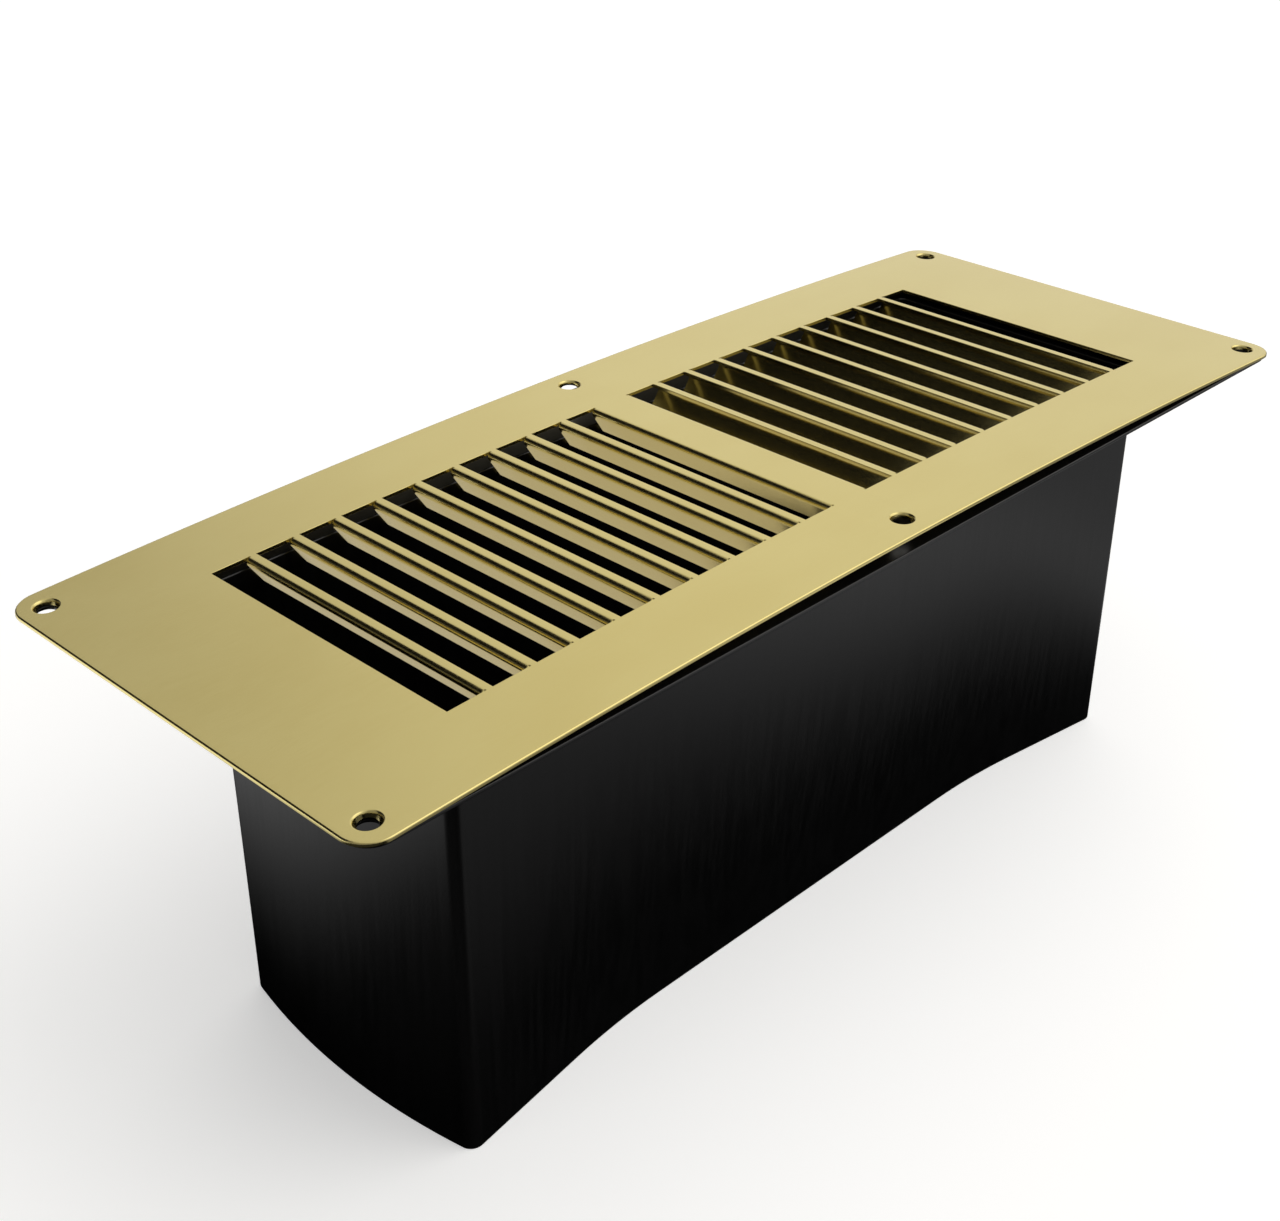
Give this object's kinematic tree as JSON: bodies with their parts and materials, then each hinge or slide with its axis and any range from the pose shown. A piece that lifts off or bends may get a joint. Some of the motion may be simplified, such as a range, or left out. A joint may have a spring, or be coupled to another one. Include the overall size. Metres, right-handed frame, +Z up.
{
  "type": "louvred air grille",
  "caption": "Floor ventilator: crowned rectangular face plate with two mirrored banks of pressed louvres, lying on the flange of a short black duct sleeve.",
  "frame": {"origin": "centre of the sleeve's bottom rim, which is the lowest plane of the grille", "axes": "+X along the plate's long side, +Y across it, +Z up out of the duct through the face plate"},
  "size_m": [0.325, 0.125, 0.1195],
  "materials": {
    "gold_anodised": "satin pale gold anodised, faint grain, bright cut edges",
    "black_plastic": "satin black, faint upright draw marks"
  },
  "bodies": {
    "root": {"face_plate": "gold_anodised", "duct_sleeve": "black_plastic"}
  },
  "joints": []
}
